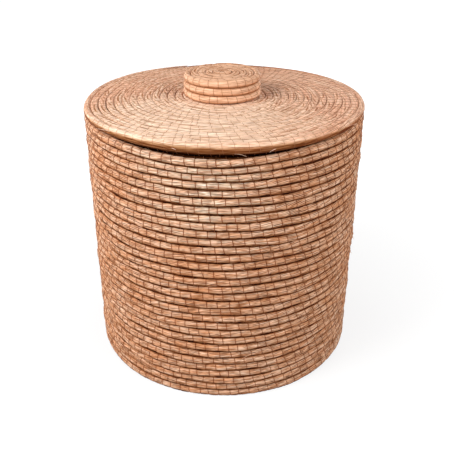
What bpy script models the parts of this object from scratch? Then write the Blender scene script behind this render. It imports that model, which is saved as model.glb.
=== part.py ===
"""A lidded basket of coiled pine needle bundles: a round basket, a flat lid with a collar that drops into the
basket's mouth, and a low drum-shaped knob.

Every piece is one bundle of needles, laid in rows. In the base, the lid's top and the knob's top the rows run
round and round in a flat spiral. In the wall, the lid's rim and collar and the knob's side they stack up, and
each row steps up onto the one below over a short ramp at the back.

Lengths are in metres. +Z is up, the origin is on the ground under the middle of the basket, and the ramps are
at +Y, which is the back.
"""

import math

import bmesh
import bpy
import numpy as np

MM = 0.001
FULL_TURN = 2 * math.pi

# Driving sizes of the basket
BASKET_DIAMETER = 256 * MM
WALL_HEIGHT = 240 * MM
USUAL_ROW_PITCH = 7.5 * MM
ROW_GAP = 0.5 * MM
SEAT_GAP = 0.3 * MM

# Driving sizes of the lid
LID_ROW_PITCH = 7.0 * MM
LID_DOME = 4.0 * MM
COLLAR_ROWS = 2
COLLAR_CLEARANCE = 1.5 * MM

# Driving sizes of the knob
KNOB_DIAMETER = 69.5 * MM
KNOB_ROWS = 3
KNOB_ROW_PITCH = 6.8 * MM
KNOB_FLARE = 0.5 * MM
KNOB_DOME = 1.0 * MM

# How finely a bundle is drawn, and the shape of its ends
STEPS_PER_TURN = 20
RAMP_STEPS = 4
BACK_ANGLE = FULL_TURN / 4
FLAT_SHARE = 0.55
TIP_SHARE = 0.25
KNOT_SIDES = 12
KNOT_EDGE_SHARE = 0.3
POINT_WEIGHT = 1.0

# The wall holds a whole number of rows, and the bundles are as thick as the rows allow
WALL_ROWS = round((WALL_HEIGHT + ROW_GAP) / USUAL_ROW_PITCH)
ROW_PITCH = (WALL_HEIGHT + ROW_GAP) / WALL_ROWS
BASKET_BUNDLE = ROW_PITCH - ROW_GAP
LID_BUNDLE = LID_ROW_PITCH - ROW_GAP
KNOB_BUNDLE = KNOB_ROW_PITCH - ROW_GAP

# The basket's places
WALL_RADIUS = (BASKET_DIAMETER - BASKET_BUNDLE) / 2
WALL_INNER_RADIUS = WALL_RADIUS - BASKET_BUNDLE / 2

# The lid's places
LID_BOTTOM = WALL_HEIGHT + SEAT_GAP
LID_TOP = LID_BOTTOM + LID_BUNDLE
LID_RIM_RADIUS = (BASKET_DIAMETER - LID_BUNDLE) / 2
COLLAR_RADIUS = WALL_INNER_RADIUS - COLLAR_CLEARANCE - LID_BUNDLE / 2
COLLAR_HEIGHT = LID_BUNDLE + (COLLAR_ROWS - 1) * LID_ROW_PITCH
COLLAR_BOTTOM = LID_BOTTOM - SEAT_GAP - COLLAR_HEIGHT

# The knob's places
KNOB_TOP_RADIUS = (KNOB_DIAMETER - KNOB_BUNDLE) / 2
KNOB_FOOT_RADIUS = KNOB_TOP_RADIUS + (KNOB_ROWS - 1) * KNOB_FLARE

NEEDLE_TAN = (0.60, 0.35, 0.22, 1.0)
NEEDLE_PALE = (0.66, 0.42, 0.28, 1.0)
NEEDLE_WARM = (0.62, 0.33, 0.19, 1.0)
KNOT_BROWN = (0.45, 0.24, 0.14, 1.0)


def dome_height(radius):
    """How far the lid's top rises at this radius. It is flat from the collar outwards."""
    return LID_DOME * max(0.0, 1 - (radius / COLLAR_RADIUS) ** 2)


def smooth_step(share):
    """0 up to share 0, 1 from share 1, and an S curve between them."""
    share = min(1.0, max(0.0, share))
    return share * share * (3 - 2 * share)


def stacked_rows(rows, pitch, foot_radius, bottom, flare=0.0):
    """A bundle's route as rows stacked into a wall: (angle, radius, height, thickness share) at each step.

    Each row climbs onto the one below over the ramp at the back. Both ends of the bundle thin out there, so
    that the wall's foot and top are level.
    """
    bundle = pitch - ROW_GAP
    top = bottom + bundle + (rows - 1) * pitch
    route = []
    for step in range(-RAMP_STEPS, rows * STEPS_PER_TURN + 1):
        row, step_in_row = divmod(step, STEPS_PER_TURN)
        climb = smooth_step(1 - (STEPS_PER_TURN - step_in_row) / RAMP_STEPS)
        if step < 0:
            share = (pitch * climb - ROW_GAP) / bundle
            height = bottom + share * bundle / 2
        elif row >= rows or (row == rows - 1 and climb > 0):
            share = (pitch * (1 - climb) - ROW_GAP) / bundle if row < rows else 0.0
            height = top - share * bundle / 2
        else:
            share = 1.0
            height = bottom + bundle / 2 + (row + climb) * pitch
        if share >= TIP_SHARE:
            angle = BACK_ANGLE - FULL_TURN * step / STEPS_PER_TURN
            rows_up = (height - bottom - bundle / 2) / pitch
            route.append((angle, foot_radius - flare * max(0.0, rows_up), height, share))
    return route


def flat_spiral(pitch, edge_radius, height_at):
    """A bundle's route as a flat spiral that fills a round space out to edge_radius, and its knot's radius.

    The first turn swells and the last one thins out, which makes the spiral's inside and outside circles.
    """
    bundle = pitch - ROW_GAP
    last_radius = edge_radius - bundle / 2
    turns = int((last_radius - pitch) / pitch)
    first_radius = last_radius - turns * pitch
    inner_radius = first_radius - bundle / 2
    route = []
    for step in range(-STEPS_PER_TURN, (turns + 1) * STEPS_PER_TURN):
        turn = step / STEPS_PER_TURN
        radius, share = first_radius + pitch * turn, 1.0
        if turn < 0:
            share = (pitch * (turn + 1) - ROW_GAP) / bundle
            radius = inner_radius + share * bundle / 2
        elif turn > turns:
            share = (pitch * (turns + 1 - turn) - ROW_GAP) / bundle
            radius = edge_radius - share * bundle / 2
        if share >= TIP_SHARE:
            route.append((BACK_ANGLE - FULL_TURN * turn, radius, height_at(radius), share))
    return route, inner_radius - ROW_GAP


def clear_scene():
    for obj in list(bpy.data.objects):
        bpy.data.objects.remove(obj)


def material(name, colour, roughness):
    made = bpy.data.materials.new(name)
    made.use_nodes = True
    shader = made.node_tree.nodes["Principled BSDF"]
    shader.inputs["Base Color"].default_value = colour
    shader.inputs["Roughness"].default_value = roughness
    shader.inputs["Metallic"].default_value = 0.0
    made.diffuse_color = colour
    return made


def section_outline(bundle):
    """The bundle's cross-section as (across, up) corners: six sides, flat where rows lie on each other."""
    half, flat = bundle / 2, bundle * FLAT_SHARE / 2
    return [(half, 0), (flat, -half), (-flat, -half), (-half, 0), (-flat, half), (flat, half)]


def section_curve(name, bundle):
    """The cross-section as a closed curve, which bevels the bundles and isn't part of the model."""
    data = bpy.data.curves.new(name, "CURVE")
    data.dimensions = "2D"
    outline = section_outline(bundle)
    spline = data.splines.new("POLY")
    spline.points.add(len(outline) - 1)
    for point, (across, up) in zip(spline.points, outline):
        point.co = (across, up, 0, POINT_WEIGHT)
    spline.use_cyclic_u = True
    guide = bpy.data.objects.new(name, data)
    guide.hide_render = True
    guide.display_type = "WIRE"
    bpy.context.scene.collection.objects.link(guide)
    return guide


def least_gap(route, bundle):
    """The least distance between corners of the bundle's cross-section that lie over half a turn apart."""
    angle, radius, height, share = np.array(route).T
    across, up = np.array(section_outline(bundle)).T
    out = radius[:, None] + share[:, None] * across
    corners = np.stack(
        [
            out * np.cos(angle)[:, None],
            out * np.sin(angle)[:, None],
            height[:, None] + share[:, None] * up,
        ],
        axis=2,
    )
    least = math.inf
    for index, ring in enumerate(corners):
        later = corners[index + STEPS_PER_TURN // 2 :].reshape(-1, 3)
        if len(later):
            least = min(least, np.linalg.norm(later[None] - ring[:, None], axis=2).min())
    return least


def bundle_piece(name, route, bundle, section, finish, parent):
    """One bundle of needles as an unbroken tube along its route."""
    data = bpy.data.curves.new(name, "CURVE")
    data.dimensions = "3D"
    data.twist_mode = "Z_UP"
    data.bevel_mode = "OBJECT"
    data.bevel_object = section
    data.use_fill_caps = True
    spline = data.splines.new("POLY")
    spline.points.add(len(route) - 1)
    for point, (angle, radius, height, share) in zip(spline.points, route):
        point.co = (radius * math.cos(angle), radius * math.sin(angle), height, POINT_WEIGHT)
        point.radius = share
    piece = bpy.data.objects.new(name, data)
    piece.data.materials.append(finish)
    piece.parent = parent
    bpy.context.scene.collection.objects.link(piece)
    print(f"{name}: least gap to itself {least_gap(route, bundle) / MM:.2f} mm")
    return piece


def start_knot(name, knot_radius, bundle, bottom, finish, parent):
    """The knot of needles that a spiral starts from: a round button inside the first turn."""
    mesh = bpy.data.meshes.new(name)
    shape = bmesh.new()
    bmesh.ops.create_cone(
        shape,
        cap_ends=True,
        segments=KNOT_SIDES,
        radius1=knot_radius,
        radius2=knot_radius,
        depth=bundle,
    )
    top_and_bottom = [e for e in shape.edges if abs(e.verts[0].co.z - e.verts[1].co.z) < bundle / 2]
    bmesh.ops.bevel(
        shape,
        geom=top_and_bottom,
        offset=KNOT_EDGE_SHARE * min(bundle, knot_radius),
        segments=1,
        affect="EDGES",
    )
    shape.to_mesh(mesh)
    shape.free()
    mesh.materials.append(finish)
    piece = bpy.data.objects.new(name, mesh)
    piece.location.z = bottom + bundle / 2
    piece.parent = parent
    bpy.context.scene.collection.objects.link(piece)
    return piece


def group(name):
    """An empty that carries the pieces which move together."""
    carrier = bpy.data.objects.new(name, None)
    bpy.context.scene.collection.objects.link(carrier)
    return carrier


def make_basket():
    parent = group("basket_group")
    section = section_curve("basket_bundle_section", BASKET_BUNDLE)
    finish = material("basket needles", NEEDLE_TAN, 0.6)

    route, knot_radius = flat_spiral(
        ROW_PITCH, WALL_INNER_RADIUS - ROW_GAP, lambda radius: BASKET_BUNDLE / 2
    )
    bundle_piece("base_coil", route, BASKET_BUNDLE, section, finish, parent)
    knot_finish = material("base knot", KNOT_BROWN, 0.7)
    start_knot("base_start_knot", knot_radius, BASKET_BUNDLE, 0.0, knot_finish, parent)
    route = stacked_rows(WALL_ROWS, ROW_PITCH, WALL_RADIUS, 0.0)
    bundle_piece("wall_coil", route, BASKET_BUNDLE, section, finish, parent)


def make_lid():
    parent = group("lid_group")
    section = section_curve("lid_bundle_section", LID_BUNDLE)
    finish = material("lid needles", NEEDLE_PALE, 0.6)
    middle = LID_BOTTOM + LID_BUNDLE / 2

    route = stacked_rows(1, LID_ROW_PITCH, LID_RIM_RADIUS, LID_BOTTOM)
    bundle_piece("lid_rim_coil", route, LID_BUNDLE, section, finish, parent)
    route, knot_radius = flat_spiral(
        LID_ROW_PITCH,
        LID_RIM_RADIUS - LID_BUNDLE / 2 - ROW_GAP,
        lambda radius: middle + dome_height(radius),
    )
    bundle_piece("lid_coil", route, LID_BUNDLE, section, finish, parent)
    start_knot(
        "lid_start_knot",
        knot_radius,
        LID_BUNDLE,
        LID_BOTTOM + dome_height(0.0),
        material("lid knot", KNOT_BROWN, 0.7),
        parent,
    )
    route = stacked_rows(COLLAR_ROWS, LID_ROW_PITCH, COLLAR_RADIUS, COLLAR_BOTTOM)
    bundle_piece("lid_collar_coil", route, LID_BUNDLE, section, finish, parent)
    return parent


def make_knob(parent):
    section = section_curve("knob_bundle_section", KNOB_BUNDLE)
    finish = material("knob needles", NEEDLE_WARM, 0.6)
    seat = LID_TOP + dome_height(KNOB_FOOT_RADIUS - KNOB_BUNDLE / 2) + SEAT_GAP
    top_row = seat + KNOB_BUNDLE / 2 + (KNOB_ROWS - 1) * KNOB_ROW_PITCH
    edge_radius = KNOB_TOP_RADIUS - KNOB_BUNDLE / 2 - ROW_GAP

    route = stacked_rows(KNOB_ROWS, KNOB_ROW_PITCH, KNOB_FOOT_RADIUS, seat, KNOB_FLARE)
    bundle_piece("knob_side_coil", route, KNOB_BUNDLE, section, finish, parent)
    route, knot_radius = flat_spiral(
        KNOB_ROW_PITCH,
        edge_radius,
        lambda radius: top_row + KNOB_DOME * (1 - (radius / edge_radius) ** 2),
    )
    bundle_piece("knob_top_coil", route, KNOB_BUNDLE, section, finish, parent)
    start_knot(
        "knob_start_knot",
        knot_radius,
        KNOB_BUNDLE,
        top_row - KNOB_BUNDLE / 2 + KNOB_DOME,
        material("knob knot", KNOT_BROWN, 0.7),
        parent,
    )


clear_scene()
make_basket()
make_knob(make_lid())
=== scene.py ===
"""The looks of a lidded basket sewn from coiled bundles of dry pine needles.

Each bundle is a tube whose surface has the needles' ridges, is drawn in at each stitch and wanders a little
from its row. The thread goes round it there as a loop of its own. Lengths are in metres, in the frame of the
solids: +Z is up, -Y is the front, and the bundles wind clockwise seen from above, from a start at the back.
"""

import math
from dataclasses import dataclass, replace

import bpy
import numpy as np
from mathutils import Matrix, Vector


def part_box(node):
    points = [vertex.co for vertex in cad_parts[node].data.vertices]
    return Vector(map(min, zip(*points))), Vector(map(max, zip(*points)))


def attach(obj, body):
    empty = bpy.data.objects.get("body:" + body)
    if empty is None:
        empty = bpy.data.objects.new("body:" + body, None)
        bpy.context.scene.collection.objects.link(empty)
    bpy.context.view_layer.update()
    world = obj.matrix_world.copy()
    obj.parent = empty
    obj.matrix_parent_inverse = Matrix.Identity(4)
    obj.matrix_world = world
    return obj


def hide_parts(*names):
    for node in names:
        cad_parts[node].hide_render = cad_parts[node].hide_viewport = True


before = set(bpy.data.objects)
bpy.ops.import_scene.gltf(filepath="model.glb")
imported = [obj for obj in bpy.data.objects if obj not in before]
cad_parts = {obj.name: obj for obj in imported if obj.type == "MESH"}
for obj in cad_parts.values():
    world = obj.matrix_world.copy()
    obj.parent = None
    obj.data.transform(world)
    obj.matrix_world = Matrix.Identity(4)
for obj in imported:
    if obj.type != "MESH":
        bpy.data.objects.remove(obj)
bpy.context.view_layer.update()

MM = 0.001
FULL_TURN = 2 * math.pi
BACK_ANGLE = FULL_TURN / 4
FRONT_ANGLE = -FULL_TURN / 4
UP = np.array([0.0, 0.0, 1.0])


def outer_radius(node):
    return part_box(node)[1][0]


def bottom_of(node):
    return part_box(node)[0][2]


def top_of(node):
    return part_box(node)[1][2]


# Rows and sizes of the basket
WALL_ROWS = 32
ROW_GAP = 0.5 * MM
BASKET_RADIUS = outer_radius("wall_coil")
WALL_HEIGHT = top_of("wall_coil")
ROW_PITCH = (WALL_HEIGHT + ROW_GAP) / WALL_ROWS
BUNDLE = ROW_PITCH - ROW_GAP
WALL_RADIUS = BASKET_RADIUS - BUNDLE / 2
BASE_EDGE = WALL_RADIUS - BUNDLE / 2 - ROW_GAP

# Rows and sizes of the lid
LID_ROW_PITCH = 7.0 * MM
LID_BUNDLE = LID_ROW_PITCH - ROW_GAP
LID_BOTTOM = bottom_of("lid_rim_coil")
LID_RIM_RADIUS = BASKET_RADIUS - LID_BUNDLE / 2
LID_EDGE = LID_RIM_RADIUS - LID_BUNDLE / 2 - ROW_GAP
LID_DOME = 4.0 * MM
COLLAR_ROWS = 2
COLLAR_BOTTOM = bottom_of("lid_collar_coil")
COLLAR_RADIUS = outer_radius("lid_collar_coil") - LID_BUNDLE / 2

# Rows and sizes of the knob
KNOB_ROWS = 3
KNOB_ROW_PITCH = 6.8 * MM
KNOB_BUNDLE = KNOB_ROW_PITCH - ROW_GAP
KNOB_BOTTOM = bottom_of("knob_side_coil")
KNOB_FLARE = 0.5 * MM
KNOB_DOME = 1.0 * MM
KNOB_FOOT_RADIUS = outer_radius("knob_side_coil") - KNOB_BUNDLE / 2
KNOB_TOP_EDGE = KNOB_FOOT_RADIUS - (KNOB_ROWS - 1) * KNOB_FLARE - KNOB_BUNDLE / 2 - ROW_GAP

# A bundle's mesh: points round it, and its rings' places on the way from one stitch to the next
NEEDLES_ROUND = 16
POINTS_ROUND = 2 * NEEDLES_ROUND
RING_SHARES = (0.0, 0.07, 0.18, 0.4, 0.6, 0.82, 0.93)

# A bundle's surface: its needles stand out as crests between valleys, twist slowly, swell between two
# stitches and are pinched in under each
CREST = 0.12 * MM
CREST_VARIES = 0.16 * MM
CREST_LENGTHS = (3.5 * MM, 0.35)
VALLEY = 0.24 * MM
SWELL = 0.05 * MM
PINCH = 0.16 * MM
PINCH_REACH = 0.7 * MM
PRESSED_FLAT = 0.5
TWIST_RATE = 0.012 / MM
TWIST_LENGTH = 60 * MM
# How far along a bundle the painted shade beside each stitch reaches
STITCH_SHADE_REACH = 0.45 * MM

# The thread's loops, the share of the thread that shows, and how they slant along the bundle
THREAD_RADIUS = 0.26 * MM
THREAD_POINTS = 16
THREAD_SIDES = 5
THREAD_SHOWS = 0.45
THREAD_SLANT = 0.8 * MM
SLANT_VARIES = 0.5

# The spacing of the stitches
WALL_STITCHES_PER_TURN = 85.7
KNOB_STITCHES_PER_TURN = 25.6
FEWEST_STITCHES = 6
FLAT_STITCH_SPACING = 8.0 * MM
NARROWEST_STITCH = 4.5 * MM
WIDEST_STITCH = 11.0 * MM
STITCH_JITTER = 0.07
STITCH_DRIFT = 0.3

# The ramp on which a bundle climbs onto the next row, as a share of a turn, the share of it that a bundle's
# tip takes up, and what is left of the bundle's thickness at the tip
RAMP_SHARE = 0.2
TIP_PLACE = 0.74
TIP_SHARE = 0.1

# Stacked rows: the shape of their section, how far a place must lean towards the row below or above for the
# painted shade of the crevice there to start and to be full, and how they stray
STACK_SQUARENESS = 2.1
LOWER_LEANS = (0.1, 0.74)
UPPER_LEANS = (0.75, 0.98)
LEVEL_ROWS = 3
WANDER_LENGTHS = (22 * MM, 22 * MM, 8 * MM)
BULGE_LENGTHS = (14 * MM, 14 * MM, 3.5 * MM)
THICK_LENGTHS = (14 * MM, 14 * MM, 4 * MM)
BULGE_SHARE = 0.6
LEAST_BULGE = 0.3
THICKNESS_WANDER = 0.08
ROWS_MEET = 0.02 * MM

# Flat spirals, the same way
FLAT_SQUARENESS = 5.0
FLAT_GROOVE = 0.7
FLAT_LEANS = (0.8, 0.98)
FLAT_LENGTHS = (16 * MM, 16 * MM)
FLAT_RISE_SHARE = 0.5
TIP_FLATNESS = 0.2
SPIRAL_OVERLAP = 0.3 * MM

# The curl that a spiral starts from. Its thickness at the tip and further out, and how far in it starts, are
# shares of its radius
CURL_TURNS = 1.9
CURL_STITCHES = 17
CURL_TIP = 0.2
CURL_HALF = 0.34
CURL_SPREAD = 0.7
CURL_OVERLAP = ROW_GAP + 0.3 * MM

# Needles that have come loose
LOOSE_RADIUS = 0.3 * MM
LOOSE_TAPER = 0.6
LOOSE_LENGTHS = (5 * MM, 14 * MM)
LOOSE_LIFTS = (0.1, 0.45)
LOOSE_RINGS = 6
LOOSE_SIDES = 5
LOOSE_FREE_RINGS = 20
LOOSE_SIDEWAYS = 0.5

# The surface maps
BAKE_MAP = "OFBake"
MAP_MARGIN = 0.02


@dataclass
class Sewing:
    """How a bundle is sewn: the thread's radius, how far it draws the bundle in, as a share, and how dark the
    painted shade on the needles right beside it is, from 0 to 1, everywhere or at each ring."""

    thread: float
    draw: float
    shade: float | np.ndarray


WALL_SEWING = Sewing(thread=THREAD_RADIUS, draw=1.0, shade=0.35)
FLAT_SEWING = Sewing(thread=0.5 * THREAD_RADIUS, draw=0.4, shade=0.14)
KNOB_SEWING = replace(FLAT_SEWING, thread=0.65 * THREAD_RADIUS)


@dataclass
class Route:
    """A bundle's middle line, the way its visible face looks and its half sizes, at each of its rings.

    grooves has a pair for each neighbour: the ways to it, each as long as the painted shade of the crevice
    there is deep, from 0 to 1, and how far a place must lean that way, from 0 to 1, for that painted shade to
    start and to be full.
    """

    centre: np.ndarray
    face: np.ndarray
    half_face: np.ndarray
    half_side: np.ndarray
    stitch: np.ndarray  # True for each ring that lies under a stitch
    grooves: list
    squareness: float  # of the section: 2 is round, and more is squarer
    sewing: Sewing

    def angles(self):
        return np.arctan2(self.centre[:, 1], self.centre[:, 0])


class Wobble:
    """A smooth unevenness over one or more inputs: a sum of waves, about 1 in size, the same on each run."""

    def __init__(self, seed, lengths, waves=24):
        rng = np.random.default_rng(seed)
        self.rates = rng.normal(size=(waves, len(lengths))) / np.array(lengths)
        self.phases = rng.uniform(0, FULL_TURN, waves)

    def __call__(self, *inputs):
        total = 0.0
        for rates, phase in zip(self.rates, self.phases):
            total = total + np.cos(sum(rate * at for rate, at in zip(rates, inputs)) + phase)
        return total * math.sqrt(2 / len(self.phases))


def smooth_step(share):
    share = np.clip(share, 0, 1)
    return share * share * (3 - 2 * share)


def unit(vectors):
    return vectors / np.linalg.norm(vectors, axis=-1, keepdims=True)


def lobe(angle, middle, reach):
    """A bump of height 1 at the middle angle, which fades either way over about its reach."""
    turned = (angle - middle + math.pi) % FULL_TURN - math.pi
    return np.exp(-((turned / reach) ** 2))


def round_about(turn, start=BACK_ANGLE):
    """The way out from the axis at this many turns from the start, and the angle."""
    angle = start - FULL_TURN * turn
    return np.stack([np.cos(angle), np.sin(angle), np.zeros_like(angle)], axis=1), angle


def climb_at(turn):
    """How far a bundle has climbed onto the next row at this many turns, from 0 to 1."""
    return smooth_step(1 - (1 - (turn - np.floor(turn))) / RAMP_SHARE)


def rings_between(stitches):
    """The turns at which a bundle has rings, and which of them lie under a stitch."""
    gaps = np.diff(stitches)
    turn = (stitches[:-1, None] + gaps[:, None] * np.array(RING_SHARES)).ravel()
    stitch = np.tile(np.array(RING_SHARES) == 0, len(gaps))
    return np.append(turn, stitches[-1]), np.append(stitch, True)


# Where the stitches are


def coil_stitches(rows, per_turn, seed):
    """Stitches spaced evenly along a stacked coil from tip to tip, as turns, each a little off its place."""
    first = -RAMP_SHARE * TIP_PLACE
    last = rows - RAMP_SHARE * (1 - TIP_PLACE)
    count = int((last - first) * per_turn)
    jitter = np.random.default_rng(seed).normal(0, STITCH_JITTER, count + 1)
    jitter[[0, -1]] = 0
    return first + (np.arange(count + 1) + jitter) * (last - first) / count


def spoke_stitches(first, last, radius_at, seed):
    """Stitches of a flat spiral, as turns: each is sewn by one of the row inside, a little further back, and
    a gap that has grown too wide gets one more in its middle."""
    rng = np.random.default_rng(seed)
    first_count = max(FEWEST_STITCHES, round(FULL_TURN * radius_at(first) / FLAT_STITCH_SPACING))
    stitches = list(first + np.arange(first_count) / first_count)
    index = 0
    while stitches[-1] < last:
        girth = FULL_TURN * radius_at(stitches[-1] + 1 / first_count)
        stray = rng.normal(0, STITCH_JITTER) * FLAT_STITCH_SPACING - STITCH_DRIFT * LID_ROW_PITCH
        turn = stitches[index] + 1 + stray / girth
        index += 1
        gap = (turn - stitches[-1]) * girth
        if gap < NARROWEST_STITCH:
            continue
        if gap > WIDEST_STITCH:
            stitches.append((turn + stitches[-1]) / 2)
        stitches.append(turn)
    return np.array([s for s in stitches if s < last] + [last])


# The routes of the bundles


def stacked_route(
    rows,
    pitch,
    foot_radius,
    bottom,
    stitches,
    wander,
    seed,
    flare=0.0,
    tilt=0.0,
    settle=None,
    grooves=(1, 1, 0),
    sewing=WALL_SEWING,
):
    """The route of rows stacked into a wall. Each row climbs onto the one below at the back.

    wander is how far the rows stray up, down, in and out. It dies out towards the foot and the top, which
    are level, and so does tilt, the share of a row's climb that is spread over the whole turn. settle gives
    how far the rows have sunk at an angle and a height, and what is left of their thickness. grooves says how
    dark the painted shade of the crevices is under the first row, between the rows and inside the last row.
    """
    bundle = pitch - ROW_GAP
    turn, stitch = rings_between(stitches)
    out, angle = round_about(turn)
    row = np.floor(turn)
    climb = climb_at(turn)
    share = np.ones_like(turn)
    height = bottom + bundle / 2 + (row + climb) * pitch
    inside = smooth_step(turn / LEVEL_ROWS) * smooth_step((rows - turn) / LEVEL_ROWS)
    height += tilt * inside * pitch * (turn - row - 0.5 - climb)
    lead = turn < 0
    share[lead] = (pitch * climb[lead] - ROW_GAP) / bundle
    height[lead] = bottom + share[lead] * bundle / 2
    top = bottom + bundle + (rows - 1) * pitch
    tail = (turn >= rows - 1) & (climb > 0)
    share[tail] = (pitch * (1 - climb[tail]) - ROW_GAP) / bundle
    height[tail] = top - share[tail] * bundle / 2
    share = np.clip(share, TIP_SHARE, 1)

    place = foot_radius * out[:, 0], foot_radius * out[:, 1], height
    rise = Wobble(seed, WANDER_LENGTHS)(*place)
    bulge = Wobble(seed + 1, BULGE_LENGTHS)(*place)
    thick = Wobble(seed + 2, THICK_LENGTHS)(*place)
    fat = Wobble(seed + 3, BULGE_LENGTHS)(*place)
    height = height + wander * inside * rise
    squeeze = 1.0
    if settle:
        sunk, squeeze = settle(angle, height)
        height = height - sunk
    radius = foot_radius - flare * np.clip((height - bottom - bundle / 2) / pitch, 0, None)
    radius = radius + BULGE_SHARE * wander * np.clip(inside + LEAST_BULGE, 0, 1) * bulge

    # However far they stray, the rows still meet
    half_side = pitch / 2 * share * squeeze * (1 + THICKNESS_WANDER * thick * inside)
    beside = [np.interp(turn + step, turn, height, left=np.nan, right=np.nan) for step in (-1, 1)]
    apart = np.fmax(*np.abs(np.array(beside) - height))
    half_side = np.where(share < 1, half_side, np.fmax(half_side, apart / 2 + ROWS_MEET))

    below, between, inner = grooves
    last_row = smooth_step((turn - (rows - 1)) / RAMP_SHARE)[:, None]
    first_row = smooth_step((1 - turn) / RAMP_SHARE)[:, None]
    return Route(
        centre=radius[:, None] * out + height[:, None] * UP,
        face=out,
        half_face=bundle / 2 * share * (1 + THICKNESS_WANDER * fat * inside),
        half_side=half_side,
        stitch=stitch,
        # The painted shade in the crevices under the row, over it and inside the last row
        grooves=[
            (-UP * (below * first_row + between * (1 - first_row)), LOWER_LEANS),
            (UP * between * (1 - last_row), UPPER_LEANS),
            (-out * inner * last_row, UPPER_LEANS),
        ],
        squareness=STACK_SQUARENESS,
        sewing=sewing,
    )


def flat_route(out, **sizes):
    """A route whose face looks up, with a neighbour on its outside and one on its inside."""
    return Route(
        face=np.tile(UP, (len(out), 1)),
        # Painted shade in the crevices towards both neighbours
        grooves=[(FLAT_GROOVE * out, FLAT_LEANS), (-FLAT_GROOVE * out, FLAT_LEANS)],
        squareness=FLAT_SQUARENESS,
        sewing=FLAT_SEWING,
        **sizes,
    )


def spiral_route(pitch, edge_radius, height_at, wander, seed, settle=None):
    """The route of a flat spiral, which swells out of its curl and thins out at its edge.

    height_at gives the middle line's height at a radius, and settle how far the edge hangs below that at an
    angle.
    """
    bundle = pitch - ROW_GAP
    last_radius = edge_radius - bundle / 2
    last_row = int((last_radius - pitch) / pitch)
    first_radius = last_radius - last_row * pitch
    inner_radius = first_radius - bundle / 2

    def radius_at(turn):
        return np.maximum(first_radius + pitch * (np.floor(turn) + climb_at(turn)), inner_radius)

    end = last_row + 1 - RAMP_SHARE * (1 - TIP_PLACE)
    turn, stitch = rings_between(spoke_stitches(-RAMP_SHARE * TIP_PLACE, end, radius_at, seed))
    out, angle = round_about(turn, BACK_ANGLE - RAMP_SHARE / 2 * FULL_TURN)
    climb = climb_at(turn)
    share = np.where(turn < 0, (pitch * climb - ROW_GAP) / bundle, 1)
    share = np.where(turn > last_row, (pitch * (1 - climb) - ROW_GAP) / bundle, share)
    share = np.clip(share, TIP_SHARE, 1)
    radius = radius_at(turn)
    radius = np.where(turn < 0, inner_radius + share * bundle / 2, radius)
    radius = np.where(turn > last_row, edge_radius - share * bundle / 2, radius)

    place = radius * out[:, 0], radius * out[:, 1]
    inside = smooth_step((edge_radius - radius) / (LEVEL_ROWS * pitch))
    height = height_at(radius) + FLAT_RISE_SHARE * wander * Wobble(seed + 1, FLAT_LENGTHS)(*place)
    if settle:
        height = height - settle(angle) * smooth_step(radius / edge_radius)
    radius = radius + wander * inside * Wobble(seed + 2, FLAT_LENGTHS)(*place)
    thick = 1 + THICKNESS_WANDER / 2 * Wobble(seed + 3, BULGE_LENGTHS[:2])(*place)
    return flat_route(
        out,
        centre=radius[:, None] * out + height[:, None] * UP,
        half_face=bundle / 2 * share**TIP_FLATNESS * thick,
        half_side=(bundle / 2 * share + SPIRAL_OVERLAP) * thick,
        stitch=stitch,
    )


def curl_route(node, height):
    """The route of the curl of needles that a spiral starts from: a turn in the middle, and one round it."""
    turn, stitch = rings_between(np.linspace(0, CURL_TURNS, CURL_STITCHES + 1))
    out, _ = round_about(turn)
    outer = smooth_step(turn / (CURL_TURNS - 1))
    radius = outer_radius(node) + CURL_OVERLAP
    half = radius * (CURL_TIP + (CURL_HALF - CURL_TIP) * smooth_step(turn))
    middle = (radius - half) * outer * CURL_SPREAD ** (1 - outer)
    return flat_route(
        out,
        centre=middle[:, None] * out + height * UP,
        half_face=np.full_like(turn, KNOB_BUNDLE / 2),
        half_side=half,
        stitch=stitch,
    )


# Meshes


def grid_mesh(name, points, across_closed, ends, attributes, uv):
    """A mesh of tubes: each row of points is a ring, and each ring is joined to the next.

    points is (tubes, rings, round, 3). across_closed joins a tube's last ring to its first one. ends caps
    each tube. attributes maps names to values at the points, and uv is (tubes, rings, round, corners, 2).
    """
    index = np.arange(points[..., 0].size).reshape(points.shape[:3])
    side = np.roll(index, -1, axis=2)
    if across_closed:
        quads = np.stack([index, side, np.roll(side, -1, axis=1), np.roll(index, -1, axis=1)], axis=3)
    else:
        quads = np.stack([index[:, :-1], side[:, :-1], side[:, 1:], index[:, 1:]], axis=3)
    quads = quads.reshape(-1, 4)
    corners = [quads.ravel()]
    starts = [np.arange(len(quads)) * 4]
    corner_uv = [uv.reshape(-1, 2)]
    if ends:
        for tube in index:
            for cap in (tube[0][::-1], tube[-1]):
                starts.append([sum(map(len, corners))])
                corners.append(cap)
                corner_uv.append(np.tile(corner_uv[0][:1], (len(cap), 1)))
    corners, starts = np.concatenate(corners), np.concatenate(starts)

    mesh = bpy.data.meshes.new(name)
    mesh.vertices.add(index.size)
    mesh.vertices.foreach_set("co", points.astype(np.float32).ravel())
    mesh.loops.add(len(corners))
    mesh.loops.foreach_set("vertex_index", corners.astype(np.int32))
    mesh.polygons.add(len(starts))
    mesh.polygons.foreach_set("loop_start", starts.astype(np.int32))
    mesh.update(calc_edges=True)
    mesh.shade_smooth()
    layer = mesh.uv_layers.new(name=BAKE_MAP, do_init=False)
    layer.uv.foreach_set("vector", np.concatenate(corner_uv).astype(np.float32).ravel())
    for key, values in attributes.items():
        kind, field = ("FLOAT_VECTOR", "vector") if values.ndim == points.ndim else ("FLOAT", "value")
        layer = mesh.attributes.new(key, kind, "POINT")
        layer.data.foreach_set(field, values.astype(np.float32).ravel())
    piece = bpy.data.objects.new(name, mesh)
    bpy.context.scene.collection.objects.link(piece)
    return piece


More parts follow.
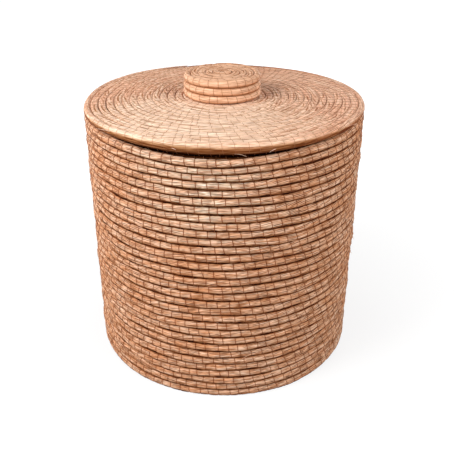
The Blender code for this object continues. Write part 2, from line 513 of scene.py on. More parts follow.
def strip_map(along, around, bands):
    """The map of a tube's skin, cut across into bands that are laid one above the other.

    along and around are shares of the tube's length and girth at its rings and points. The result has the
    four corners of each face.
    """
    band = np.minimum((along[:-1] * bands).astype(int), bands - 1)
    low = along[:-1] * bands - band
    high = along[1:] * bands - band
    near, far = around[:-1], around[1:]
    u = np.stack([low, low, high, high], axis=1)[:, None]
    u = np.broadcast_to(u, (len(low), len(near), 4))
    v = np.broadcast_to(np.stack([near, far, far, near], axis=1)[None], u.shape)
    v = (band[:, None, None] + MAP_MARGIN + (1 - 2 * MAP_MARGIN) * v) / bands
    return np.stack([MAP_MARGIN + (1 - 2 * MAP_MARGIN) * np.clip(u, 0, 1), v], axis=3)


def tile_map(count, along, sides):
    """The map of many small tubes, each in a tile of its own, as (tubes, along, sides, corners, 2)."""
    columns = max(1, round(math.sqrt(count * sides / along)))
    rows = -(-count // columns)
    tile = np.arange(count)[:, None, None, None]
    u = (np.array([0, 0, 1, 1]) + np.arange(along)[None, :, None, None]) / along
    v = (np.array([0, 1, 1, 0]) + np.arange(sides)[None, None, :, None]) / sides
    u = (tile % columns + MAP_MARGIN + (1 - 2 * MAP_MARGIN) * u) / columns
    v = (tile // columns + MAP_MARGIN + (1 - 2 * MAP_MARGIN) * v) / rows
    return np.stack(np.broadcast_arrays(u, v), axis=-1)


def rounded_square(around, squareness):
    """Points round a section, from a circle at a squareness of 2 to a square."""
    across, along = np.cos(around), np.sin(around)
    curve = 2 / squareness
    return np.sign(across) * np.abs(across) ** curve, np.sign(along) * np.abs(along) ** curve


def bundle_surface(route, seed):
    """The points of a bundle's skin, its needles' straightened places, how dark the painted shade is at each
    point, in the crevices and beside the stitches, the length at each ring, the share of the girth at each
    point, and the loops of thread round it."""
    sewing = route.sewing
    tangent = unit(np.gradient(route.centre, axis=0))
    face = unit(route.face - (route.face * tangent).sum(axis=1, keepdims=True) * tangent)
    side = np.cross(tangent, face)
    steps = np.linalg.norm(np.diff(route.centre, axis=0), axis=1)
    length = np.concatenate([[0], np.cumsum(steps)])

    share = np.arange(POINTS_ROUND) / POINTS_ROUND
    rate = TWIST_RATE * (1 + Wobble(seed, [TWIST_LENGTH / FULL_TURN])(length))
    twist = np.concatenate([[0], np.cumsum((rate[1:] + rate[:-1]) / 2 * steps)])
    around = FULL_TURN * share[None] - twist[:, None]
    to_face, to_side = rounded_square(around, route.squareness)
    needle_angle = FULL_TURN * share
    strand = np.broadcast_arrays(length[:, None], np.cos(needle_angle), np.sin(needle_angle))
    strand = np.stack(strand, axis=2)
    needle = np.arange(NEEDLES_ROUND)
    ridge = np.full(around.shape, -VALLEY)
    ridge[:, 1::2] = CREST + CREST_VARIES * Wobble(seed + 1, CREST_LENGTHS)(length[:, None], needle[None])

    places = length[route.stitch]
    after = np.clip(np.searchsorted(places, length), 1, len(places) - 1)
    from_stitch = np.minimum(np.abs(length - places[after - 1]), np.abs(places[after] - length))
    pull = np.exp(-((from_stitch / PINCH_REACH) ** 2))[:, None]
    grow = sewing.draw * ridge * (1 - PRESSED_FLAT * pull) + sewing.draw * (SWELL - (PINCH + SWELL) * pull)
    skin = (
        route.centre[:, None]
        + ((route.half_face[:, None] + grow) * to_face)[..., None] * face[:, None]
        + ((route.half_side[:, None] + grow) * to_side)[..., None] * side[:, None]
    )

    outward = np.cos(around)[..., None] * face[:, None] + np.sin(around)[..., None] * side[:, None]
    # Painted shadow beside each stitch, where the thread presses in
    beside_stitch = sewing.shade * np.exp(-((from_stitch / STITCH_SHADE_REACH) ** 2))
    crevice = np.broadcast_to(beside_stitch[:, None], outward.shape[:2])
    # Painted shade in the crevices towards each neighbouring row
    for groove, (starts, full) in route.grooves:
        depth = np.linalg.norm(groove, axis=1)[:, None]
        towards = (outward * (groove / np.maximum(depth, MM))[:, None]).sum(axis=2)
        crevice = np.maximum(crevice, depth * smooth_step((towards - starts) / (full - starts)))
    loops = thread_loops(route, face, side, tangent, seed + 2)
    for points in (skin, loops):
        points[..., 2] = np.maximum(points[..., 2], 0)
    return skin, strand, crevice, length, share, loops


def thread_loops(route, face, side, tangent, seed):
    """A closed loop of thread for each stitch, as (loops, points, sides, 3)."""
    at = np.flatnonzero(route.stitch)
    slant = THREAD_SLANT * (1 + SLANT_VARIES * np.random.default_rng(seed).normal(size=len(at)))
    around = np.arange(THREAD_POINTS) / THREAD_POINTS * FULL_TURN
    to_face, to_side = rounded_square(around, route.squareness)
    face, side, tangent = face[at], side[at], tangent[at]
    thread = route.sewing.thread
    sunk = thread * THREAD_SHOWS - route.sewing.draw * PINCH
    line = (
        route.centre[at][:, None]
        + ((route.half_face[at] + sunk)[:, None] * to_face)[..., None] * face[:, None]
        + ((route.half_side[at] + sunk)[:, None] * to_side)[..., None] * side[:, None]
        + (slant[:, None] * np.sin(around))[..., None] * tangent[:, None]
    )
    cos_around, sin_around = np.cos(around)[None, :, None], np.sin(around)[None, :, None]
    outward = unit(cos_around * face[:, None] + sin_around * side[:, None])
    spin = (np.arange(THREAD_SIDES) / THREAD_SIDES * FULL_TURN)[None, None, :, None]
    round_thread = np.cos(spin) * outward[:, :, None] - np.sin(spin) * tangent[:, None, None]
    return line[:, :, None] + thread * round_thread


# Pieces


def finish_piece(piece, finish, body, slot, *nodes):
    piece.data.materials.append(finish)
    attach(piece, body)
    if nodes:
        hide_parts(*nodes)


def part_name(name, number, pieces):
    return f"{name}_{number}" if pieces > 1 else name


def add_bundle(name, route, finish, body, slot, node, seed, pieces=1):
    """Adds a bundle as one or more pieces, cut under a stitch, and gives the loops of thread round it."""
    skin, strand, crevice, length, share, loops = bundle_surface(route, seed)
    stitch_rings = np.flatnonzero(route.stitch)
    cuts = stitch_rings[np.linspace(0, len(stitch_rings) - 1, pieces + 1).astype(int)]
    girth = FULL_TURN * BUNDLE / 2
    for number, (start, end) in enumerate(zip(cuts[:-1], cuts[1:]), 1):
        part = slice(start, end + 1)
        long = length[end] - length[start]
        bands = max(1, round(math.sqrt(long / girth)))
        piece = grid_mesh(
            part_name(name, number, pieces),
            skin[None, part],
            across_closed=False,
            ends=True,
            # crevice carries the painted shade of the crevices and beside the stitches
            attributes={"strand": strand[None, part], "crevice": crevice[None, part]},
            uv=strip_map((length[part] - length[start]) / long, np.append(share, 1.0), bands)[None],
        )
        finish_piece(piece, finish, body, slot, node)
    return loops


def add_threads(name, loops, finish, body, slot, pieces=1):
    """Adds all the loops of thread of some bundles, as one or more pieces."""
    for number, part in enumerate(np.array_split(np.concatenate(loops), pieces), 1):
        piece = grid_mesh(
            part_name(name, number, pieces),
            part,
            across_closed=True,
            ends=False,
            attributes={},
            uv=tile_map(*part.shape[:3]),
        )
        finish_piece(piece, finish, body, slot)


def add_loose_needles(name, route, count, spread, finish, body, slot, seed):
    """Adds ends of needles that stand off a bundle's face, at up to the angle spread either way round it."""
    rng = np.random.default_rng(seed)
    clear = np.flatnonzero(route.centre[:, 2] > LOOSE_LENGTHS[1])[LOOSE_FREE_RINGS:-LOOSE_FREE_RINGS]
    at = rng.choice(clear, count, replace=False)
    tangent = unit(np.gradient(route.centre, axis=0))[at] * rng.choice([-1, 1], count)[:, None]
    face = unit(route.face[at])
    side = np.cross(tangent, face)
    around = rng.uniform(-spread, spread, count)[:, None]
    outward = np.cos(around) * face + np.sin(around) * side
    sideways = np.abs(np.sin(around)) > LOOSE_SIDEWAYS
    half = np.where(sideways, route.half_side[at][:, None], route.half_face[at][:, None])
    long = rng.uniform(*LOOSE_LENGTHS, count)[:, None, None]
    lift = rng.uniform(*LOOSE_LIFTS, count)[:, None, None]
    share = np.linspace(0, 1, LOOSE_RINGS)[None, :, None]
    line = (
        (route.centre[at] + (half - LOOSE_RADIUS) * outward)[:, None]
        + long * share * tangent[:, None]
        + long * lift * share**2 * outward[:, None]
    )
    thick = LOOSE_RADIUS * (1 - LOOSE_TAPER * share)[..., None]
    spin = (np.arange(LOOSE_SIDES) / LOOSE_SIDES * FULL_TURN)[None, None, :, None]
    across = np.cross(tangent, outward)[:, None, None]
    tubes = line[:, :, None] + thick * (np.cos(spin) * outward[:, None, None] + np.sin(spin) * across)
    column = (rng.integers(NEEDLE_COLUMNS, size=(count, 1, 1)) + 0.5) * FULL_TURN / NEEDLE_COLUMNS
    along = np.arange(count)[:, None, None] + long * share
    strand = np.stack(np.broadcast_arrays(along, np.cos(column), np.sin(column)), axis=3)
    piece = grid_mesh(
        name,
        tubes,
        across_closed=False,
        ends=True,
        attributes={"strand": np.broadcast_to(strand, tubes.shape)},
        uv=tile_map(count, LOOSE_RINGS - 1, LOOSE_SIDES),
    )
    finish_piece(piece, finish, body, slot)


# Materials


def linear(red, green, blue):
    """A colour as it looks on a screen, from 0 to 255, as the linear values that a shader takes."""
    shares = np.array([red, green, blue]) / 255
    return (*np.where(shares <= 0.04045, shares / 12.92, ((shares + 0.055) / 1.055) ** 2.4), 1.0)


def tones(*stops):
    """A colour ramp's stops, from a place between 0 and 1 and a colour each."""
    return [(place, linear(*colour)) for place, *colour in stops]


@dataclass
class PaleArea:
    """Where the needles are paler: the area's middle, how far out it fades to nothing, and how much it adds
    to the place on the ramp of tones."""

    middle: tuple
    reach: float
    adds: float


@dataclass
class NeedleLook:
    """How needles look: their tones, what is left of them under the painted shade at the bottom of a crevice,
    how long their streaks are, how much the tones vary, how dark the widest gaps between needles are, and how
    much the painted shade of a groove varies."""

    tones: list
    darkest: float
    streak_length: float
    contrast: float
    open_gaps: float
    broken_grooves: float
    pale: PaleArea | None = None


WALL_LOOK = NeedleLook(
    tones(
        (0.0, 88, 40, 17),
        (0.15, 171, 103, 59),
        (0.35, 199, 141, 103),
        (0.5, 207, 158, 125),
        (0.65, 219, 179, 152),
        (0.82, 220, 196, 172),
        (1.0, 252, 244, 234),
    ),
    darkest=0.022,
    streak_length=9 * MM,
    contrast=0.65,
    open_gaps=0.95,
    broken_grooves=0.17,
    pale=PaleArea((-0.02, -0.13, 0.22), 0.09, 0.18),
)
CURL_LOOK = replace(
    WALL_LOOK,
    tones=tones((0.0, 150, 94, 62), (0.4, 216, 158, 120), (0.7, 232, 180, 144), (1.0, 250, 222, 192)),
    contrast=0.7,
    open_gaps=0.8,
    broken_grooves=0.2,
    pale=None,
)
# The collar's darker tones are painted shade: it sits in the shadow under the lid's edge
COLLAR_LOOK = replace(
    CURL_LOOK,
    tones=tones((0.0, 60, 30, 12), (0.3, 96, 54, 28), (0.6, 116, 70, 40), (1.0, 150, 102, 66)),
    contrast=0.9,
)
LID_LOOK = NeedleLook(
    tones(
        (0.0, 169, 110, 80),
        (0.2, 212, 158, 128),
        (0.45, 228, 178, 149),
        (0.65, 235, 199, 173),
        (0.85, 240, 211, 188),
        (1.0, 247, 223, 202),
    ),
    darkest=0.18,
    streak_length=16 * MM,
    contrast=0.46,
    open_gaps=0.72,
    broken_grooves=0.5,
    # The paler area at the lid's front is a painted sheen
    pale=PaleArea((-0.03, -0.08, LID_BOTTOM), 0.13, 0.3),
)
RIM_LOOK = replace(LID_LOOK, streak_length=24 * MM, contrast=0.6, open_gaps=0.85, broken_grooves=0.2)
KNOB_LOOK = replace(
    LID_LOOK,
    tones=tones(
        (0.0, 166, 108, 71),
        (0.2, 213, 162, 127),
        (0.45, 228, 181, 149),
        (0.65, 234, 192, 162),
        (0.85, 235, 200, 174),
        (1.0, 245, 222, 201),
    ),
    contrast=0.45,
    open_gaps=0.8,
    broken_grooves=0.2,
    pale=None,
)
WALL_THREAD = tones((0.3, 96, 40, 18), (0.7, 144, 78, 48))
LID_THREAD = tones((0.3, 116, 64, 38), (0.7, 168, 110, 76))
THREAD_SHADE_SIZE = 6 * MM
THREAD_ROUGHNESS = 0.6
THREAD_GLOSS = 0.1

# Needles in the shader: how many lie side by side round a bundle, how far apart their noises are, the sizes
# of the grain and the patches, the part of each noise's range that counts, and its share in the tone
NEEDLE_COLUMNS = 20
COLUMN_STEP = 3.7
GAP_LAYER = 9.0
GROOVE_LAYER = 3.0
NEEDLE_EDGE = (0.4, 0.9)
GRAIN_LENGTH = 8 * MM
GRAIN_ACROSS = 1.15
GRAIN_RANGE = (0.25, 0.75)
GRAIN_SHARE = 0.35
GRAIN_LEVEL = 0.48
TONE_RATE = 0.6
TONE_RANGE = (0.3, 0.7)
TONE_SHARE = 0.45
PATCH_SIZE = 45 * MM
PATCH_SHARE = 0.4
PALE_CORE = 0.2
OPEN_RANGE = (0.42, 0.58)
GAP_SHUT = 0.2
GROOVE_RANGE = (0.42, 0.62)
SHADE_POWERS = (1.0, 1.55, 2.2)
SHADE_STOPS = 6
NEEDLE_ROUGHNESS = (0.5, 0.7)
NEEDLE_GLOSS = 0.05
RELIEF_GRAIN = 0.5
RELIEF_STRENGTH = 1.15
RELIEF_DEPTH = 0.25 * MM


def add_node(tree, kind, inputs=None, **settings):
    """A shader node with its settings, and its inputs as values or as other nodes' outputs."""
    made = tree.nodes.new(kind)
    for key, value in settings.items():
        setattr(made, key, value)
    for key, value in (inputs or {}).items():
        if isinstance(value, bpy.types.NodeSocket):
            tree.links.new(value, made.inputs[key])
        else:
            made.inputs[key].default_value = value
    return made


def colour_ramp(tree, factor, stops):
    made = add_node(tree, "ShaderNodeValToRGB", {"Fac": factor})
    elements = made.color_ramp.elements
    while len(elements) < len(stops):
        elements.new(0.5)
    for element, (position, colour) in zip(elements, stops):
        element.position = position
        element.color = colour
    return made.outputs["Color"]


def new_material(name):
    made = bpy.data.materials.new(name)
    made.use_nodes = True
    return made, made.node_tree, made.node_tree.nodes["Principled BSDF"]


def crevice_shades(least):
    """The painted shade of a crevice: what is left of the needles' colour by the share of its depth, down to
    least at its bottom.

    Light thrown to and fro between needles turns redder each time, so green and blue fall off faster.
    """
    shares = np.linspace(0, 1, SHADE_STOPS)
    return [
        (share, (*((1 - (1 - least) * share) ** power for power in SHADE_POWERS), 1.0)) for share in shares
    ]


def needle_material(name, look):
    """Dry needles laid side by side: each has its own tone, and the gaps between them are dark."""
    made, tree, shader = new_material(name)

    def maths(operation, *values, clamp=False):
        return add_node(
            tree, "ShaderNodeMath", dict(enumerate(values)), operation=operation, use_clamp=clamp
        ).outputs["Value"]

    def vector_maths(operation, inputs, output="Vector"):
        return add_node(tree, "ShaderNodeVectorMath", inputs, operation=operation).outputs[output]

    def ranged(value, low, high, to_low=0.0, to_high=1.0, kind="SMOOTHSTEP"):
        return add_node(
            tree,
            "ShaderNodeMapRange",
            {"Value": value, "From Min": low, "From Max": high, "To Min": to_low, "To Max": to_high},
            interpolation_type=kind,
        ).outputs["Result"]

    def noise(place, scale=1.0, detail=1.0):
        inputs = {"Vector": place, "Scale": scale, "Detail": detail}
        return add_node(tree, "ShaderNodeTexNoise", inputs).outputs["Fac"]

    def strand_noise(x, y, z=0.0, detail=1.0):
        place = add_node(tree, "ShaderNodeCombineXYZ", {"X": x, "Y": y, "Z": z}).outputs["Vector"]
        return noise(place, detail=detail)

    strand = add_node(tree, "ShaderNodeAttribute", attribute_name="strand").outputs["Vector"]
    # The painted shade of the crevices and beside the stitches, from the mesh
    crevice = add_node(tree, "ShaderNodeAttribute", attribute_name="crevice").outputs["Fac"]
    place = add_node(tree, "ShaderNodeTexCoord").outputs["Object"]
    split = add_node(tree, "ShaderNodeSeparateXYZ", {"Vector": strand})
    length = split.outputs["X"]
    angle = maths("ARCTAN2", split.outputs["Z"], split.outputs["Y"])

    # Which needle a place is on, which gap is nearest, and how near it is
    across = maths("MULTIPLY_ADD", angle, NEEDLE_COLUMNS / FULL_TURN, float(NEEDLE_COLUMNS))
    column = maths("FLOORED_MODULO", maths("FLOOR", across), float(NEEDLE_COLUMNS))
    beside = maths("FLOORED_MODULO", maths("ROUND", across), float(NEEDLE_COLUMNS))
    off_middle = maths("ABSOLUTE", maths("MULTIPLY_ADD", maths("FRACT", across), 2.0, -1.0))
    edge = ranged(off_middle, *NEEDLE_EDGE)

    # What varies along the needles and from one to the next
    streak = maths("DIVIDE", length, look.streak_length)
    tone = strand_noise(maths("MULTIPLY", streak, TONE_RATE), maths("MULTIPLY", column, COLUMN_STEP))
    tone = ranged(tone, *TONE_RANGE)
    opens = strand_noise(streak, maths("MULTIPLY", beside, COLUMN_STEP), GAP_LAYER)
    opens = ranged(opens, *OPEN_RANGE)
    grain = strand_noise(
        maths("DIVIDE", length, GRAIN_LENGTH), maths("MULTIPLY", across, GRAIN_ACROSS), detail=2.0
    )
    grain = ranged(grain, *GRAIN_RANGE, kind="LINEAR")
    patches = noise(place, 1 / PATCH_SIZE)

    # The needles' colour
    vary = look.contrast
    factor = maths("MULTIPLY_ADD", tone, TONE_SHARE * vary, 0.5 - TONE_SHARE / 2 * vary)
    factor = maths("MULTIPLY_ADD", maths("SUBTRACT", patches, 0.5), PATCH_SHARE * vary, factor)
    factor = maths("MULTIPLY_ADD", maths("SUBTRACT", grain, 0.5), GRAIN_SHARE * vary, factor, clamp=True)
    if look.pale:
        away = vector_maths("DISTANCE", {0: place, 1: look.pale.middle}, "Value")
        paler = ranged(away, look.pale.reach, PALE_CORE * look.pale.reach, 0.0, look.pale.adds)
        factor = maths("ADD", factor, paler, clamp=True)
    streaks = maths("MULTIPLY_ADD", grain, vary, 1.0 - GRAIN_LEVEL * vary)
    colour = vector_maths("SCALE", {0: colour_ramp(tree, factor, look.tones), "Scale": streaks})

    # The dark gaps between needles, and the painted shade in the crevices between rows and beside the
    # stitches
    gap = maths("MULTIPLY", edge, maths("MULTIPLY_ADD", opens, look.open_gaps - GAP_SHUT, GAP_SHUT))
    parted = ranged(strand_noise(streak, column, GROOVE_LAYER), *GROOVE_RANGE)
    deep = maths("MULTIPLY_ADD", parted, 2 * look.broken_grooves, 1.0 - look.broken_grooves)
    groove = maths("MULTIPLY", crevice, deep, clamp=True)
    shade = colour_ramp(tree, maths("MAXIMUM", gap, groove), crevice_shades(look.darkest))
    tree.links.new(vector_maths("MULTIPLY", {0: colour, 1: shade}), shader.inputs["Base Color"])

    roughness = ranged(grain, 0.0, 1.0, *NEEDLE_ROUGHNESS, kind="LINEAR")
    tree.links.new(roughness, shader.inputs["Roughness"])
    relief = maths("MULTIPLY_ADD", grain, RELIEF_GRAIN, maths("SUBTRACT", 1.0, gap))
    inputs = {"Height": relief, "Strength": RELIEF_STRENGTH * vary, "Distance": RELIEF_DEPTH}
    bump = add_node(tree, "ShaderNodeBump", inputs)
    tree.links.new(bump.outputs["Normal"], shader.inputs["Normal"])
    shader.inputs["Specular IOR Level"].default_value = NEEDLE_GLOSS
    return made


def thread_material(name, stops):
    """Brown thread, with lighter and darker stretches."""
    made, tree, shader = new_material(name)
    place = add_node(tree, "ShaderNodeTexCoord").outputs["Object"]
    shades = add_node(
        tree, "ShaderNodeTexNoise", {"Vector": place, "Scale": 1 / THREAD_SHADE_SIZE, "Detail": 2.0}
    ).outputs["Fac"]
    tree.links.new(colour_ramp(tree, shades, stops), shader.inputs["Base Color"])
    shader.inputs["Roughness"].default_value = THREAD_ROUGHNESS
    shader.inputs["Specular IOR Level"].default_value = THREAD_GLOSS
    return made


# The object

# How the basket has sunk. The wall's mouth and the lid's edge hang at the back right and the left: each sag
# has an angle, a reach and a depth
EDGE_SAGS = [
    (math.radians(72), math.radians(38), 1.6 * MM),
    (math.radians(185), math.radians(25), 1.6 * MM),
]
MOUTH_START = 215 * MM
# Degrees round from the front and their reach, the millimetres of height between which each sinking grows and
# those between which it fades, and its depth in millimetres
WALL_SINKS = [
    (0, 1000, (0, 16), (150, 240), 0.8),
    (50, 30, (0, 16), (16, 66), -2.2),
    (-5, 25, (10, 40), (42, 75), 0.9),
    (58, 14, (90, 140), (200, 235), 1.3),
    (-8, 75, (150, 240), (300, 301), 3.0),
    (20, 14, (195, 220), (222, 240), -1.0),
    (-6, 28, (215, 240), (300, 301), 3.8),
]
LID_SETTLES = 1.3 * MM

# The lid's edge overlaps the rim row, the painted shade in its rows' grooves and beside its stitches is
# weaker at the front, and the rim row hangs there and has painted shade on its underside and its inside
LID_EDGE_OVERLAP = 0.8 * MM
LID_STITCH_SHADE = 0.55
LID_FRONT_LESS_SHADE = 0.75
LID_FRONT_REACH = math.radians(50)
RIM_HANGS = 1.9 * MM
RIM_HANGS_REACH = math.radians(48)
RIM_SHADE_TILT = 0.6
RIM_LEANS = (-0.1, 0.65)
RIM_GROOVE = 0.25

# The knob is sewn on a little to the left, its top overlaps its side, and the painted shade in its top's
# grooves is faint
KNOB_SHIFT = np.array([-1.6 * MM, 0.0, 0.0])
KNOB_TOP_OVERLAP = 0.8 * MM
KNOB_TOP_GROOVE = 0.12


def edge_sag(angle):
    """How far the wall's mouth and the lid's edge hang below a flat ring."""
    return sum(depth * lobe(angle, at, reach) for at, reach, depth in EDGE_SAGS)


def ring_settling(angle, height):
    """How far the lid's rim and collar hang with its edge, and the share of their thickness they keep."""
    return edge_sag(angle), 1.0


def wall_settling(angle, height):
    """How far the wall's rows have sunk from level, and the share of their thickness that they keep."""

    def sunk_at(height):
        sunk = edge_sag(angle) * smooth_step((height - MOUTH_START) / (WALL_HEIGHT - MOUTH_START))
        for at, reach, (start, full), (fades, gone), depth in WALL_SINKS:
            near = lobe(angle, FRONT_ANGLE + math.radians(at), math.radians(reach))
            rising = smooth_step((height / MM - start) / (full - start))
            fading = 1 - smooth_step((height / MM - fades) / (gone - fades))
            sunk = sunk + depth * MM * near * rising * fading
        return sunk

    step = ROW_PITCH / 2
    return sunk_at(height), 1 - (sunk_at(height + step) - sunk_at(height - step)) / (2 * step)


def base_height(radius):
    return np.full_like(radius, BUNDLE / 2)


def lid_height(radius):
    """The lid's middle line, which rises a little towards the knob."""
    dome = (LID_DOME - LID_SETTLES) * np.clip(1 - (radius / COLLAR_RADIUS) ** 2, 0, None)
    return LID_BOTTOM + LID_BUNDLE / 2 + dome


def knob_height(radius):
    """The middle line of the knob's top, which is level with the last row of its side at its edge."""
    last_row = KNOB_BOTTOM - LID_SETTLES + KNOB_BUNDLE / 2 + (KNOB_ROWS - 1) * KNOB_ROW_PITCH
    return last_row + KNOB_DOME * (1 - (radius / KNOB_TOP_EDGE) ** 2)


# Scales the painted shade in a route's grooves
def scale_grooves(route, share):
    route.grooves = [(share * groove, leans) for groove, leans in route.grooves]


def make_basket(threads, curl_finish):
    finish = needle_material("wall needles", WALL_LOOK)
    wall = stacked_route(
        WALL_ROWS,
        ROW_PITCH,
        WALL_RADIUS,
        0.0,
        coil_stitches(WALL_ROWS, WALL_STITCHES_PER_TURN, seed=11),
        wander=0.45 * MM,
        seed=21,
        tilt=0.45,
        settle=wall_settling,
    )
    base = spiral_route(ROW_PITCH, BASE_EDGE, base_height, wander=0.3 * MM, seed=41)
    curl = curl_route("base_start_knot", BUNDLE / 2)

    body, slot = "basket", "basket_needles"
    wall_loops = add_bundle("wall_coil_rows", wall, finish, body, slot, "wall_coil", seed=31, pieces=8)
    add_loose_needles("wall_loose_needles", wall, 90, math.radians(60), finish, body, slot, seed=191)
    base_loops = [
        add_bundle("base_coil_rows", base, finish, body, slot, "base_coil", seed=51, pieces=2),
        add_bundle("base_start_curl", curl, curl_finish, body, "knot_needles", "base_start_knot", seed=161),
    ]
    add_threads("wall_stitches", [wall_loops], threads, body, slot, pieces=3)
    add_threads("base_stitches", base_loops, threads, body, slot)


def make_lid(threads, curl_finish):
    finish = needle_material("lid needles", LID_LOOK)
    rim_finish = needle_material("rim needles", RIM_LOOK)
    collar_finish = needle_material("collar needles", COLLAR_LOOK)

    top = spiral_route(
        LID_ROW_PITCH, LID_EDGE + LID_EDGE_OVERLAP, lid_height, wander=0.3 * MM, seed=61, settle=edge_sag
    )
    # The painted shade of the lid's grooves and stitches is weaker at the front
    shade_share = 1 - LID_FRONT_LESS_SHADE * lobe(top.angles(), FRONT_ANGLE, LID_FRONT_REACH)
    scale_grooves(top, shade_share[:, None])
    top.sewing = replace(top.sewing, shade=LID_STITCH_SHADE * shade_share)

    rim = stacked_route(
        1,
        LID_ROW_PITCH,
        LID_RIM_RADIUS,
        LID_BOTTOM,
        coil_stitches(1, WALL_STITCHES_PER_TURN, seed=12),
        wander=0.4 * MM,
        seed=81,
        settle=ring_settling,
        sewing=FLAT_SEWING,
    )
    hangs = RIM_HANGS * lobe(rim.angles(), FRONT_ANGLE, RIM_HANGS_REACH)
    rim.centre[:, 2] -= hangs / 2
    rim.half_side += hangs / 2
    # Painted shade on the rim row's underside, and in the groove on its inside
    rim.grooves[0] = (unit(RIM_SHADE_TILT * rim.face - UP), RIM_LEANS)
    rim.grooves[2] = (-RIM_GROOVE * rim.face, FLAT_LEANS)

    collar = stacked_route(
        COLLAR_ROWS,
        LID_ROW_PITCH,
        COLLAR_RADIUS,
        COLLAR_BOTTOM,
        coil_stitches(COLLAR_ROWS, WALL_STITCHES_PER_TURN, seed=13),
        wander=0.2 * MM,
        seed=101,
        settle=ring_settling,
        grooves=(0, 1, 0),
    )
    curl = curl_route("lid_start_knot", lid_height(0.0))

    body, slot = "lid", "lid_needles"
    loops = [
        add_bundle("lid_coil_rows", top, finish, body, slot, "lid_coil", seed=71, pieces=3),
        add_bundle("lid_rim_row", rim, rim_finish, body, slot, "lid_rim_coil", seed=91),
    ]
    add_loose_needles("rim_loose_needles", rim, 12, math.radians(80), rim_finish, body, slot, seed=192)
    loops += [
        add_bundle("lid_collar_rows", collar, collar_finish, body, slot, "lid_collar_coil", seed=111),
        add_bundle("lid_start_curl", curl, curl_finish, body, "knot_needles", "lid_start_knot", seed=171),
    ]
    add_threads("lid_stitches", loops, threads, body, slot)


def make_knob(threads):
    finish = needle_material("knob needles", KNOB_LOOK)
    side = stacked_route(
        KNOB_ROWS,
        KNOB_ROW_PITCH,
        KNOB_FOOT_RADIUS,
        KNOB_BOTTOM - LID_SETTLES,
        coil_stitches(KNOB_ROWS, KNOB_STITCHES_PER_TURN, seed=14),
        wander=0.3 * MM,
        seed=121,
        flare=KNOB_FLARE,
        grooves=(0.4, 0.5, 0.1),
        sewing=KNOB_SEWING,
    )
    top = spiral_route(
        KNOB_ROW_PITCH, KNOB_TOP_EDGE + KNOB_TOP_OVERLAP, knob_height, wander=0.2 * MM, seed=141
    )
    curl = curl_route("knob_start_knot", knob_height(0.0))
    for route in (side, top, curl):
        route.centre += KNOB_SHIFT
    for route in (top, curl):
        scale_grooves(route, KNOB_TOP_GROOVE)
    body, slot = "lid", "knob_needles"
    loops = [
        add_bundle("knob_side_rows", side, finish, body, slot, "knob_side_coil", seed=131),
        add_bundle("knob_top_rows", top, finish, body, slot, "knob_top_coil", seed=151),
        add_bundle("knob_start_curl", curl, finish, body, "knot_needles", "knob_start_knot", seed=181),
    ]
    add_threads("knob_stitches", loops, threads, body, slot)


# The camera, the lights and the floor

CAMERA_PLACE = (0.0, -590.5 * MM, 418.9 * MM)
CAMERA_PITCH = math.radians(27.76)
PICTURE_SIDE = 458
FOCAL_PIXELS = 652.2
AXIS_PIXEL = 224.1
SENSOR_WIDTH = 36.0

# Each lamp's name, place, size and power
LAMPS = [
    ("left key", (-0.73, -0.42, 0.84), 0.6, 10.2),
    ("right key", (0.73, -0.42, 0.84), 0.6, 4.9),
    ("left fill", (-0.75, -0.75, 0.41), 0.6, 4.0),
    ("right fill", (0.75, -0.75, 0.41), 0.6, 3.5),
    ("back right", (0.6, 1.2, 0.32), 0.8, 5.0),
    ("back left", (-0.9, 0.95, 0.32), 0.8, 5.0),
]
LAMP_TARGET = (0.0, 0.0, 0.12)
WORLD_LIGHT = 0.15

# The floor glows at full strength where it has faded into the background, and less under the basket, where
# its shadow shows
FLOOR_SIDE = 12.0
FLOOR_LEVEL = -0.1 * MM
FLOOR_GREY = (0.55, 0.55, 0.55, 1.0)
FLOOR_ROUGHNESS = 0.9
FLOOR_GLOW = 0.78
FLOOR_SHADOW = (0.22, 0.22, 0.22, 1.0)
FLOOR_FADES = 0.6


def make_camera():
    data = bpy.data.cameras.new("camera")
    data.sensor_width = SENSOR_WIDTH
    data.lens = SENSOR_WIDTH * FOCAL_PIXELS / PICTURE_SIDE
    data.shift_x = (PICTURE_SIDE / 2 - AXIS_PIXEL) / PICTURE_SIDE
    camera = bpy.data.objects.new("camera", data)
    camera.location = CAMERA_PLACE
    camera.rotation_euler = (math.pi / 2 - CAMERA_PITCH, 0, 0)
    bpy.context.scene.collection.objects.link(camera)
    bpy.context.scene.camera = camera


def make_softbox(name, place, size, power):
    data = bpy.data.lights.new(name, "AREA")
    data.shape = "DISK"
    data.size = size
    data.energy = power
    lamp = bpy.data.objects.new(name, data)
    lamp.visible_camera = False
    lamp.location = place
    x, y, z = np.array(LAMP_TARGET) - np.array(place)
    lamp.rotation_euler = (math.atan2(math.hypot(x, y), -z), 0, math.atan2(y, x) - math.pi / 2)
    bpy.context.scene.collection.objects.link(lamp)


def make_world():
    """White where the camera or a clear reflection sees it, and a faint light from all sides."""
    world = bpy.data.worlds.new("studio")
    world.use_nodes = True
    bpy.context.scene.world = world
    tree = world.node_tree
    tree.nodes.clear()
    path = add_node(tree, "ShaderNodeLightPath")
    seen = path.outputs["Is Camera Ray"]
    for ray in ("Is Glossy Ray", "Is Transmission Ray"):
        either = add_node(tree, "ShaderNodeMath", {0: seen, 1: path.outputs[ray]}, operation="MAXIMUM")
        seen = either.outputs["Value"]
    inputs = {"Value": seen, "To Min": WORLD_LIGHT, "To Max": 1.0}
    strength = add_node(tree, "ShaderNodeMapRange", inputs).outputs["Result"]
    inputs = {"Color": (1.0, 1.0, 1.0, 1.0), "Strength": strength}
    background = add_node(tree, "ShaderNodeBackground", inputs)
    add_node(tree, "ShaderNodeOutputWorld", {"Surface": background.outputs["Background"]})


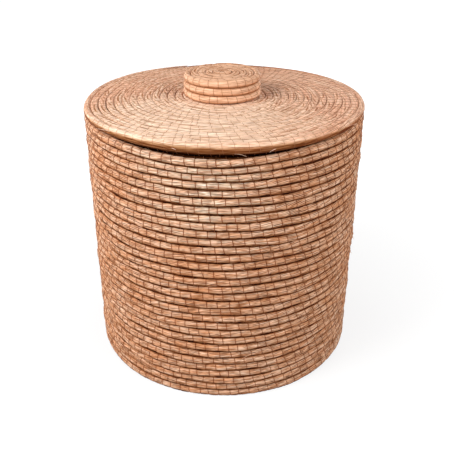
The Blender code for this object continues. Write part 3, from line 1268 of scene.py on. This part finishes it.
def make_floor():
    """A plain white floor that runs out to the white background and keeps the basket's soft shadow."""
    half = FLOOR_SIDE / 2
    mesh = bpy.data.meshes.new("floor")
    sides = [(-half, -half), (half, -half), (half, half), (-half, half)]
    mesh.from_pydata([(x, y, FLOOR_LEVEL) for x, y in sides], [], [(0, 1, 2, 3)])
    floor = bpy.data.objects.new("floor", mesh)
    made, tree, shader = new_material("floor")
    shader.inputs["Base Color"].default_value = FLOOR_GREY
    shader.inputs["Roughness"].default_value = FLOOR_ROUGHNESS
    shader.inputs["Specular IOR Level"].default_value = 0.0
    path = add_node(tree, "ShaderNodeLightPath")
    place = add_node(tree, "ShaderNodeTexCoord").outputs["Object"]
    away = add_node(tree, "ShaderNodeVectorMath", {0: place}, operation="LENGTH").outputs["Value"]
    fade = {"From Min": BASKET_RADIUS, "From Max": FLOOR_FADES, "To Min": FLOOR_GLOW, "To Max": 1.0}
    strength = add_node(tree, "ShaderNodeMapRange", {"Value": away, **fade}).outputs["Result"]
    glow = add_node(tree, "ShaderNodeEmission", {"Strength": strength}).outputs["Emission"]
    faint = add_node(tree, "ShaderNodeBsdfDiffuse", {"Color": FLOOR_SHADOW}).outputs["BSDF"]
    lit = add_node(tree, "ShaderNodeAddShader", {0: faint, 1: glow}).outputs["Shader"]
    inputs = {"Fac": path.outputs["Is Camera Ray"], 1: shader.outputs["BSDF"], 2: lit}
    mixed = add_node(tree, "ShaderNodeMixShader", inputs)
    tree.links.new(mixed.outputs["Shader"], tree.nodes["Material Output"].inputs["Surface"])
    mesh.materials.append(made)
    bpy.context.scene.collection.objects.link(floor)


def main():
    make_camera()
    make_world()
    make_floor()
    for lamp in LAMPS:
        make_softbox(*lamp)
    curl_finish = needle_material("curl needles", CURL_LOOK)
    lid_threads = thread_material("lid thread", LID_THREAD)
    make_basket(thread_material("wall thread", WALL_THREAD), curl_finish)
    make_lid(lid_threads, curl_finish)
    make_knob(lid_threads)
    bpy.context.scene.view_settings.view_transform = "Standard"


main()
